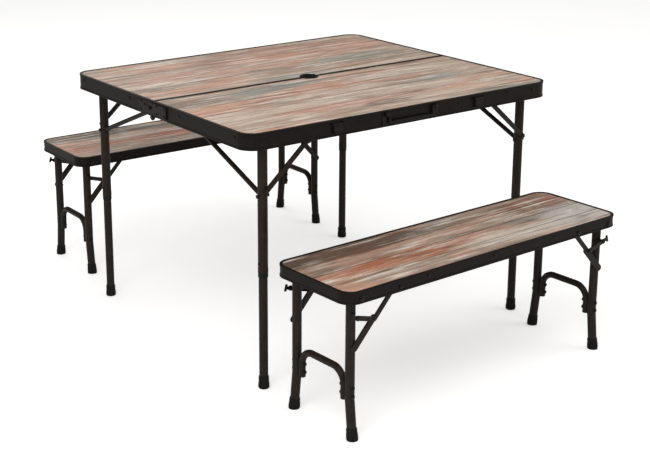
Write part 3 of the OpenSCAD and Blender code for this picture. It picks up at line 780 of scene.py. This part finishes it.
@dataclass
class CaseFittings:
    """Handle grip, latch pressings and keepers of the closed case."""

    front: Leaf
    back: Leaf
    latch_x: float = 245.0
    lug_x: float = 95.0
    handle_out: float = 6.0
    handle_z: float = 11.5
    grip_half: float = 62.0
    rib_count: int = 25
    # Radius of a groove and of a ridge of the grip
    rib_radius: tuple[float, float] = (4.75, 5.25)
    # How far the latch flap and the plates under the fittings stand out of the rim
    flap_out: float = 6.6
    plate_out: float = 1.6
    flap_half: float = 11.0
    # Rivets of a latch: off its middle and above the rim's edge; heights of a lug's rivets
    latch_rivet: tuple[float, float] = (13.0, 10.0)
    lug_rivet_z: tuple[float, float] = (10.0, 34.0)
    keeper_half: float = 14.0
    hook_half: float = 12.0
    # Rivets of a keeper: off its middle and above the rim's edge
    keeper_rivet: tuple[float, float] = (8.0, 21.0)

    def grip(self) -> None:
        """Moulds the ribbed grip round the handle's bar."""
        first = 4.0 - self.grip_half
        step = -2 * first / (self.rib_count - 1)
        ribs = [(self.rib_radius[i % 2], first + i * step) for i in range(self.rib_count)]
        ends = self.grip_half
        profile = [(4.1, -ends), (5.2, 1.0 - ends), *ribs, (5.2, ends - 1.0), (4.1, ends)]
        spot = self.front.at(0, self.front.depth + self.handle_out, self.handle_z)
        made = Builder().lathe(profile, spot, Vector((1, 0, 0)))
        made.finish("handle_grip_sleeve", "handle", GRIP_PLASTIC, Slot.PLASTIC)

    def latches(self) -> None:
        """Presses the stiffening beads into the latch flaps."""
        face = self.front.depth + self.flap_out
        half = self.flap_half
        for name, side in (("left", 1), ("right", -1)):
            made = Builder()
            x = side * self.latch_x
            # A wide bead near the finger edge and a narrow one by the hinge
            self.front.block(made, (x - half, face, 11.5), (x + half, face + 1.3, 15.5), 0.6)
            self.front.block(made, (x - half, face, 23), (x + half, face + 1.1, 26), 0.5)
            made.finish(f"latch_{name}_pressing", f"latch_{name}", PAINTED_STEEL, Slot.STEEL)

    def rivets(self) -> None:
        """Rivets the latch bases and the handle's lugs to the front rim."""
        made = Builder()
        out = self.front.direction(0, 1, 0)
        face = self.front.depth + self.plate_out
        for s in (-1, 1):
            dx, z = self.latch_rivet
            for x in (s * self.latch_x - dx, s * self.latch_x + dx):
                made.lathe(Head.FLUSH.value, self.front.at(x, face, z), out, 14)
            for z in self.lug_rivet_z:
                made.lathe(Head.SCREW.value, self.front.at(s * self.lug_x, face, z), out, 14)
        made.finish("case_fitting_rivets", "front_leaf", RIVET_STEEL, Slot.STEEL)

    def keepers(self) -> None:
        """Sets the keepers on the back rim that the latches grip when the case is shut."""
        made = Builder()
        depth = self.back.depth
        for s in (-1, 1):
            x = s * self.latch_x
            # Base plate, and the hook that the latch grips
            half = self.keeper_half
            self.back.block(made, (x - half, depth - 0.1, 6), (x + half, depth + 1.5, 30), 0.8)
            half = self.hook_half
            self.back.block(made, (x - half, depth + 1.0, 6.5), (x + half, depth + 4.5, 9.5), 0.8)
            dx, z = self.keeper_rivet
            for spot in (self.back.at(x - dx, depth + 1.5, z), self.back.at(x + dx, depth + 1.5, z)):
                made.lathe(Head.SCREW.value, spot, self.back.direction(0, 1, 0), 14)
        made.finish("case_latch_keepers", "back_leaf", PAINTED_STEEL, Slot.STEEL)

    def build(self) -> None:
        """Builds the fittings' visible detail."""
        self.grip()
        self.latches()
        self.rivets()
        self.keepers()


@dataclass
class TableLeg:
    """One telescoping table leg. Heights in millimetres above the ground."""

    place: str
    leaf: Leaf
    side: int
    radius: float = 13.0
    joint_z: float = 322.0
    button_z: float = 346.0
    bolt_z: float = 527.0
    bolt_x: float = 17.5

    def at(self, dx: float, dy: float, height: float) -> Vector:
        """Turns a place near the leg's axis into the row frame.

        Args:
            dx: along the fold from the axis.
            dy: away from the fold from the axis.
            height: above the ground.

        Returns:
            The point in metres.
        """
        leaf = self.leaf
        x = self.side * leaf.leg_x + dx
        return leaf.at(x, leaf.leg_y(self.side) + dy, height - leaf.height + leaf.rim)

    def build(self) -> None:
        """Builds foot ribs, joint bush, spring button and bolt caps."""
        up = Vector((0, 0, 1))
        ribs = Builder()
        for z in RIB_HEIGHTS:
            ribs.lathe(RIB, self.at(0, 0, z), up, 28)
        lower = f"lower_leg_{self.place}"
        ribs.finish(f"foot_ribs_{self.place}", lower, FOOT_RUBBER, Slot.RUBBER)
        body = f"leg_{self.place}"
        made = Builder()
        # Spring button that locks the two halves of the leg, on the side that the brace never passes
        spot = self.at(self.side * self.radius, 0, self.button_z)
        made.lathe(Head.BUTTON.value, spot, self.leaf.direction(self.side, 0, 0), 18)
        # Caps of the bolt that holds the cross brace's foot
        for s in (-1, 1):
            spot = self.at(s * self.bolt_x, 0, self.bolt_z)
            made.lathe(Head.CAP.value, spot, self.leaf.direction(s, 0, 0), 18)
        made.finish(f"leg_rivets_{self.place}", body, RIVET_STEEL, Slot.STEEL)
        bush = Builder().lathe(JOINT_BUSH, self.at(0, 0, self.joint_z), up, 32)
        bush.finish(f"leg_bush_{self.place}", body, COLLAR_PLASTIC, Slot.PLASTIC)


@dataclass
class Bench:
    """One folding bench. Lengths in millimetres, the turn in degrees."""

    front: bool
    x: float
    y: float
    turn: float
    table_y: float
    leg_x: float = 444.0
    leg_y: float = 101.5
    leg_radius: float = 12.0
    foot_y: float = 112.5
    foot_floor: float = 4.2
    lean: float = 6.23
    pivot_z: float = 374.0
    head_y: float = 143.2
    rim_y: float = 141.0
    rim_rivet_z: float = 381.0
    rail_x: float = 320.0
    catch_face: float = 127.7
    catch_drop: float = 54.0
    catch_length: float = 55.0
    catch_tilt: float = 15.86
    arch_inner: float = 71.7
    arch_bolt_z: tuple[float, float] = (112.0, 134.0)
    stay_drop: float = 134.0
    rivet_x: tuple[float, ...] = (-228.0, 0.0, 228.0)

    @property
    def name(self) -> str:
        """Front or back bench."""
        return "front_bench" if self.front else "back_bench"

    def matrix(self) -> Matrix:
        """Gives the bench's place and turn.

        Returns:
            The matrix from bench metres to the row frame.
        """
        place = Matrix.Translation((self.x * MM, self.table_y + self.y * MM, 0))
        return place @ Matrix.Rotation(math.radians(self.turn), 4, "Z")

    def at(self, x: float, y: float, z: float) -> Vector:
        """Turns bench millimetres into the row frame.

        Args:
            x: along the seat from its middle.
            y: across it.
            z: above the ground.

        Returns:
            The point in metres.
        """
        return self.matrix() @ Vector((x * MM, y * MM, z * MM))

    def direction(self, x: float, y: float, z: float) -> Vector:
        """Turns a bench direction, given as in at, into the row frame.

        Returns:
            The direction.
        """
        return self.matrix().to_3x3() @ Vector((x, y, z))

    def rim_rivets(self) -> None:
        """Sets the rivets along the seat's rim."""
        made = Builder()
        for t in (-1, 1):
            for x in self.rivet_x:
                spot = self.at(x, t * self.rim_y, self.rim_rivet_z)
                made.lathe(Head.RIVET.value, spot, self.direction(0, t, 0))
        made.finish(f"{self.name}_rim_rivets", self.name, RIVET_STEEL, Slot.STEEL)

    def bolts(self, side: int, end: str) -> None:
        """Bolts the arch to the legs of one frame, and caps its pivots and stay pins.

        Args:
            side: -1 for the left frame, 1 for the right one.
            end: the frame's name.
        """
        x = side * self.leg_x
        made = Builder()
        rails = Builder()
        for t in (-1, 1):
            out = self.direction(0, t, 0)
            # The bolt heads' flat faces sink a little into the round tube
            face = self.leg_y + self.leg_radius - 0.2
            for z in self.arch_bolt_z:
                made.lathe(Head.DOME.value, self.at(x, t * face, z), out, 16)
                made.lathe(Head.NUT.value, self.at(x, t * self.arch_inner, z), -out, 6)
            inner = self.at(x - side * self.leg_radius, t * self.leg_y, self.pivot_z - self.stay_drop)
            made.lathe(Head.SCREW.value, inner, self.direction(-side, 0, 0), 14)
            made.lathe(Head.CAP.value, self.at(x, t * self.head_y, self.pivot_z), out, 18)
            rail = self.at(side * self.rail_x, t * self.head_y, self.pivot_z)
            rails.lathe(Head.CAP.value, rail, out, 18)
        frame_name = f"{self.name}_{end}"
        made.finish(f"{frame_name}_bolts", f"{frame_name}_frame", RIVET_STEEL, Slot.STEEL)
        rails.finish(f"{frame_name}_rail_rivets", f"{frame_name}_upper_stay", RIVET_STEEL, Slot.STEEL)

    def foot_ribs(self, side: int, end: str) -> None:
        """Moulds ribs round the leaning feet of one frame.

        Args:
            side: -1 for the left frame, 1 for the right one.
            end: the frame's name.
        """
        made = Builder()
        lean = math.radians(self.lean)
        for t in (-1, 1):
            foot = self.at(side * self.leg_x, t * self.foot_y, self.foot_floor)
            axis = self.direction(0, -t * math.sin(lean), math.cos(lean))
            for z in RIB_HEIGHTS:
                made.lathe(RIB, foot + axis * ((z - self.foot_floor) * MM), axis, 28)
        body = f"{self.name}_{end}_frame"
        made.finish(f"{self.name}_{end}_foot_ribs", body, FOOT_RUBBER, Slot.RUBBER)

    def catch_rivets(self, side: int, end: str) -> None:
        """Rivets both ends of the catches of one frame.

        Args:
            side: -1 for the left frame, 1 for the right one.
            end: the frame's name.
        """
        made = Builder()
        tilt = math.radians(self.catch_tilt)
        x, z = side * self.leg_x, self.pivot_z - self.catch_drop
        knee_x = x - side * self.catch_length * math.cos(tilt)
        knee_z = z - self.catch_length * math.sin(tilt)
        for t in (-1, 1):
            out = self.direction(0, t, 0)
            made.lathe(Head.WASHER.value, self.at(x, t * self.catch_face, z), out, 18)
            made.lathe(Head.SCREW.value, self.at(knee_x, t * self.catch_face, knee_z), out, 16)
        body = f"{self.name}_{end}_catch"
        made.finish(f"{self.name}_{end}_catch_rivets", body, RIVET_STEEL, Slot.STEEL)

    def build(self) -> None:
        """Builds all detail of the bench."""
        self.rim_rivets()
        for side, end in ((-1, "left"), (1, "right")):
            self.bolts(side, end)
            self.foot_ribs(side, end)
            self.catch_rivets(side, end)


@dataclass
class Dresser:
    """Gives each CAD node its finish and shading."""

    benches: dict[str, Bench]

    def finish_of(self, node: str) -> PlankFoil | Skin:
        """Picks the finish of a node.

        Args:
            node: the CAD node's name.

        Returns:
            The finish.
        """
        if node.endswith("board"):
            end = "front" if node.startswith("front") else "back"
            low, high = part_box(node)
            middle = ((low[0] + high[0]) / 2, (low[1] + high[1]) / 2)
            name = f"{node}_plank_foil"
            if "bench" not in node:
                return PlankFoil(name, middle, seed=LEAF_SEEDS[end], zones=LEAF_ZONES[end])
            return PlankFoil(
                name,
                middle,
                turn=math.radians(self.benches[end].turn),
                plank=70 * MM,
                board=760 * MM,
                seed=BENCH_SEEDS[end],
                top=390.5 * MM,
                ground=("#8a7160", "#d2b8a2"),
                zones=BENCH_ZONES,
            )
        if node.startswith("foot_") or node.endswith("_feet"):
            return FOOT_RUBBER
        if "collar" in node:
            return COLLAR_PLASTIC
        if node == "carry_handle":
            return GRIP_PLASTIC
        if node.endswith("rim_frame") or node.endswith("bench_rim"):
            return RIM_PAINT
        if any(word in node for word in ("hinge", "latch", "fittings")):
            return PAINTED_STEEL
        if any(word in node for word in ("brackets", "catches")):
            return FITTING_STEEL
        return TUBE_PAINT

    def dress(self) -> None:
        """Assigns every node's material."""
        for node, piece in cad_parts.items():
            piece.data.materials.clear()
            piece.data.materials.append(material_of(self.finish_of(node)))
            smooth(piece.data)
            log.info("dressed %s", node)


@dataclass(frozen=True)
class Lamp:
    """One soft square lamp. Place, aim and the face's side in metres, power in watts."""

    name: str
    place: Point
    aim: Point
    size: float
    power: float


@dataclass
class Studio:
    """Pale floor, soft light and the photograph's camera. Places in metres, angles in radians."""

    eye: Point = (-2.3733, -3.2174, 1.5747)
    yaw: float = 0.6295
    pitch: float = 0.2844
    focal_pixels: float = 1400.6
    frame_pixels: float = 650.0
    sensor: float = 36.0
    shift: tuple[float, float] = (0.0453, -0.0989)
    floor_half: float = 14.0
    # The paper is seen a little brighter than it is lit, so that it runs into the white background
    paper_glow: float = 0.46
    surround: float = 0.50
    # Smooth paint mirrors the studio's darker sides
    dark_sides: float = 0.20
    lamps: tuple[Lamp, ...] = (
        Lamp("key_lamp", (-2.6, -2.2, 3.4), (0, 0, 0.4), 2.6, 72),
        Lamp("fill_lamp", (3.2, -2.6, 2.4), (0, 0, 0.4), 2.6, 30),
        Lamp("back_lamp", (0.5, 3.6, 3.0), (0, 0, 0.5), 2.4, 28),
    )

    def camera(self) -> None:
        """Sets the camera at the photograph's angle."""
        data = bpy.data.cameras.new("studio_camera")
        data.sensor_width = self.sensor
        data.lens = self.focal_pixels / self.frame_pixels * self.sensor
        data.shift_x, data.shift_y = self.shift
        camera = bpy.data.objects.new("studio_camera", data)
        bpy.context.scene.collection.objects.link(camera)
        camera.location = self.eye
        camera.rotation_euler = (math.pi / 2 - self.pitch, 0.0, -self.yaw)
        bpy.context.scene.camera = camera

    def floor(self) -> None:
        """Lays the pale floor."""
        data = bpy.data.meshes.new("studio_floor")
        h = self.floor_half
        data.from_pydata([(-h, -h, 0), (h, -h, 0), (h, h, 0), (-h, h, 0)], [], [(0, 1, 2, 3)])
        piece = bpy.data.objects.new("studio_floor", data)
        bpy.context.scene.collection.objects.link(piece)
        material, tree, shader = new_material("studio_floor_paper")
        grain = add(tree, "TexNoise", {"Scale": 40.0})
        inputs = {"Factor": grain, 6: linear("#f3f2f0"), 7: linear("#f9f8f7")}
        colour = add(tree, "Mix", inputs, data_type="RGBA").outputs[2]
        seen = add(tree, "LightPath").outputs["Is Camera Ray"]
        glow = add(tree, "Math", {0: seen, 1: self.paper_glow}, operation="MULTIPLY")
        tree.links.new(colour, shader.inputs["Base Color"])
        tree.links.new(glow.outputs[0], shader.inputs["Emission Strength"])
        shader.inputs["Emission Color"].default_value = (1.0, 1.0, 1.0, 1.0)
        shader.inputs["Roughness"].default_value = 0.9
        shader.inputs["Specular IOR Level"].default_value = 0.1
        data.materials.append(material)

    def hang(self, lamp: Lamp) -> None:
        """Hangs one soft lamp.

        Args:
            lamp: the lamp.
        """
        data = bpy.data.lights.new(lamp.name, "AREA")
        data.shape = "SQUARE"
        data.size = lamp.size
        data.energy = lamp.power
        piece = bpy.data.objects.new(lamp.name, data)
        bpy.context.scene.collection.objects.link(piece)
        piece.location = lamp.place
        view = Vector(lamp.aim) - Vector(lamp.place)
        piece.rotation_euler = view.to_track_quat("-Z", "Y").to_euler()

    def world(self) -> None:
        """Sets an even pale surround, white where the camera sees it."""
        world = bpy.data.worlds.new("studio")
        bpy.context.scene.world = world
        world.use_nodes = True
        tree = world.node_tree
        tree.nodes.clear()
        seen = add(tree, "LightPath").outputs["Is Camera Ray"]
        mirrored = add(tree, "LightPath").outputs["Is Glossy Ray"]
        strength = add(tree, "MapRange", {0: mirrored, 3: self.surround, 4: self.dark_sides})
        strength = add(tree, "MapRange", {0: seen, 3: strength, 4: 1.0})
        back = add(tree, "Background", {0: (1.0, 1.0, 1.0, 1.0), 1: strength})
        add(tree, "OutputWorld", {0: back})

    def build(self) -> None:
        """Builds the studio."""
        self.camera()
        self.floor()
        self.world()
        for lamp in self.lamps:
            self.hang(lamp)
        bpy.context.scene.view_settings.view_transform = "Standard"


def main() -> None:
    """Builds the set: studio, finishes, table and benches."""
    logging.basicConfig(level=logging.INFO, format="%(message)s")
    Studio().build()
    table_y = (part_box("back_rim_frame")[0][1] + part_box("front_rim_frame")[1][1]) / 2
    front, back = Leaf(True, table_y), Leaf(False, table_y)
    # The benches stand where the photograph has them
    benches = {
        "front": Bench(True, -14.0, -657.0, 2.5, table_y),
        "back": Bench(False, 36.0, 718.0, -0.9, table_y),
    }
    Dresser(benches).dress()
    for leaf in (front, back):
        leaf.rivets()
        leaf.bracket_screws()
        leaf.hinge_rivets()
        leaf.collar_bead()
    CaseFittings(front, back).build()
    for place, leaf, side in (
        ("back_right", back, 1),
        ("back_left", back, -1),
        ("front_left", front, 1),
        ("front_right", front, -1),
    ):
        TableLeg(place, leaf, side).build()
    for bench in benches.values():
        bench.build()


if __name__ == "__main__":
    main()
